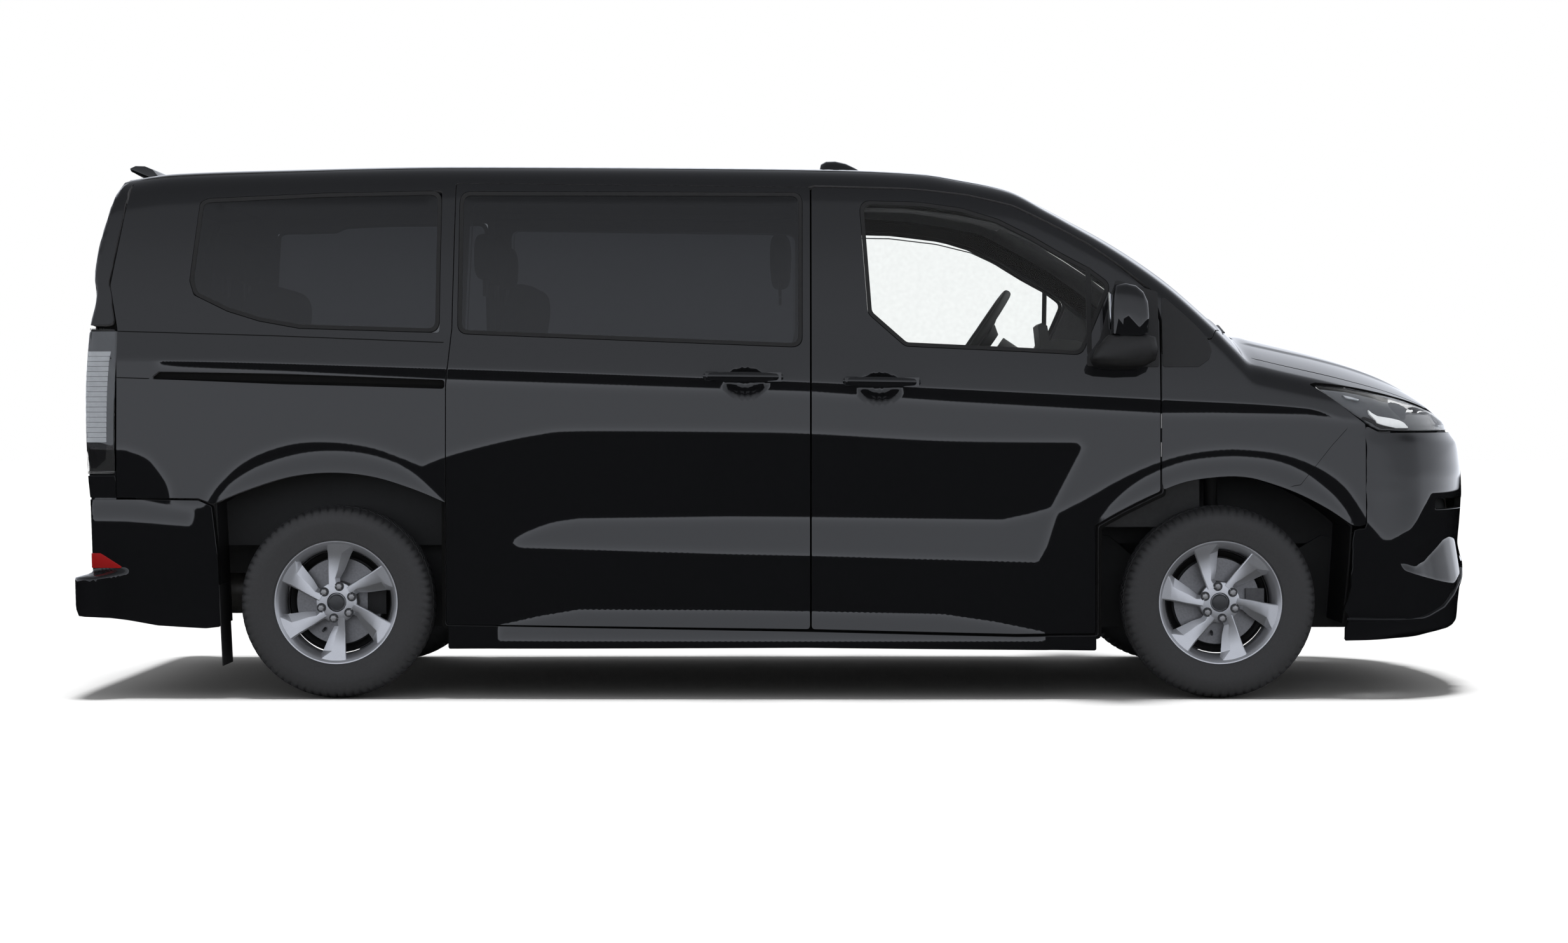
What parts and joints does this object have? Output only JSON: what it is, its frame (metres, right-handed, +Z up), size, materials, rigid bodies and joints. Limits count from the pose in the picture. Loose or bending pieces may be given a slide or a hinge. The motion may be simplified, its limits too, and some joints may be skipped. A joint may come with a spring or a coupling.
{
  "type": "minibus",
  "caption": "Long-wheelbase passenger minibus with hinged front doors, sliding side doors, lifting tailgate and bonnet, steered front wheels and free-rolling alloy wheels.",
  "frame": {"origin": "on the ground under the middle of the vehicle, halfway between its front and rear ends", "axes": "+X to the front along the vehicle, +Z up, +Y to the left side"},
  "size_m": [5.0334, 2.274, 1.9699],
  "materials": {
    "black_paint": "black gloss body paint",
    "privacy_glass": "dark tinted safety glass",
    "clear_glass": "lightly tinted safety glass",
    "black_plastic": "grained black plastic",
    "black_rubber": "matt black rubber",
    "lamp_lens": "clear lamp lens over bright reflectors",
    "underbody_paint": "matt black underbody coating",
    "cast_metal": "rough cast metal",
    "bare_steel": "dull steel",
    "dark_trim": "soft dark grained trim",
    "seat_cloth": "dark grey woven seat cloth",
    "tyre_rubber": "dark rubber sidewall",
    "alloy": "silver lacquered cast alloy"
  },
  "bodies": {
    "body": {"body_side_left": "black_paint", "body_side_right": "black_paint", "bulkhead": "underbody_paint", "chassis_frame": "underbody_paint", "cowl_panel": "black_plastic", "dashboard": "dark_trim", "engine": "cast_metal", "exhaust": "bare_steel", "floor_pan": "underbody_paint", "front_bumper": "black_paint", "front_seats": "seat_cloth", "front_suspension": "underbody_paint", "fuel_tank": "black_plastic", "grille": "black_plastic", "headlamps": "lamp_lens", "hinges": "bare_steel", "mud_flaps": "black_rubber", "quarter_glass": "privacy_glass", "rear_axle": "underbody_paint", "rear_bumper": "black_paint", "rear_seats": "seat_cloth", "roof": "black_paint", "roof_pod": "black_paint", "slide_rails": "black_plastic", "sliding_door_left": "black_paint", "sliding_door_right": "black_paint", "sliding_glass": "privacy_glass", "tail_lamps": "lamp_lens", "wheel_houses": "black_plastic", "windscreen": "clear_glass", "wing_left": "black_paint", "wing_right": "black_paint"},
    "wheel_front_right": {"tyre_front_right": "tyre_rubber", "rim_front_right": "alloy"},
    "wheel_front_left": {"tyre_front_left": "tyre_rubber", "rim_front_left": "alloy"},
    "wheel_rear_right": {"tyre_rear_right": "tyre_rubber", "rim_rear_right": "alloy"},
    "wheel_rear_left": {"tyre_rear_left": "tyre_rubber", "rim_rear_left": "alloy"},
    "knuckle_front_right": {"knuckle_right": "cast_metal"},
    "knuckle_front_left": {"knuckle_left": "cast_metal"},
    "door_right": {"front_door_right": "black_paint", "front_glass_right": "clear_glass", "mirror_right": "black_paint"},
    "door_left": {"front_door_left": "black_paint", "front_glass_left": "clear_glass", "mirror_left": "black_paint"},
    "tailgate": {"tailgate": "black_paint", "tailgate_glass": "privacy_glass"},
    "bonnet": {"bonnet": "black_paint"},
    "steering": {"steering_wheel": "dark_trim"}
  },
  "joints": [
    {"name": "steer_left", "type": "hinge", "parent": "body", "child": "knuckle_front_left", "pos_m": [1.53, 0.802, 0.339], "axis": [0, 0, 1], "range_deg": [-35, 35]},
    {"name": "steer_right", "type": "hinge", "parent": "body", "child": "knuckle_front_right", "pos_m": [1.53, -0.802, 0.339], "axis": [0, 0, 1], "range_deg": [-35, 35]},
    {"name": "steering_wheel_turn", "type": "hinge", "parent": "body", "child": "steering", "pos_m": [0.774, 0.4, 1.322], "axis": [-0.829, 0, 0.5592], "range_deg": [-525, 525]},
    {"name": "wheel_front_right_turn", "type": "hinge", "parent": "knuckle_front_right", "child": "wheel_front_right", "pos_m": [1.53, -0.872, 0.339], "axis": [0, 1, 0], "continuous": true},
    {"name": "wheel_front_left_turn", "type": "hinge", "parent": "knuckle_front_left", "child": "wheel_front_left", "pos_m": [1.53, 0.872, 0.339], "axis": [0, 1, 0], "continuous": true},
    {"name": "wheel_rear_right_turn", "type": "hinge", "parent": "body", "child": "wheel_rear_right", "pos_m": [-1.57, -0.872, 0.339], "axis": [0, 1, 0], "continuous": true},
    {"name": "wheel_rear_left_turn", "type": "hinge", "parent": "body", "child": "wheel_rear_left", "pos_m": [-1.57, 0.872, 0.339], "axis": [0, 1, 0], "continuous": true},
    {"name": "door_right_swing", "type": "hinge", "parent": "body", "child": "door_right", "pos_m": [1.31852, -0.98874, 0.9], "axis": [0, 0, 1], "range_deg": [0, 65]},
    {"name": "door_left_swing", "type": "hinge", "parent": "body", "child": "door_left", "pos_m": [1.31852, 0.98874, 0.9], "axis": [0, 0, -1], "range_deg": [0, 65]},
    {"name": "tailgate_lift", "type": "hinge", "parent": "body", "child": "tailgate", "pos_m": [-2.31338, 0, 1.87272], "axis": [0, 1, 0], "range_deg": [0, 80]},
    {"name": "bonnet_lift", "type": "hinge", "parent": "body", "child": "bonnet", "pos_m": [1.65324, 0, 1.29601], "axis": [0, -1, 0], "range_deg": [0, 55]}
  ],
  "couplings": [
    {"joint": "steer_right", "follows": "steer_left", "ratio": 1},
    {"joint": "steering_wheel_turn", "follows": "steer_left", "ratio": 15}
  ]
}
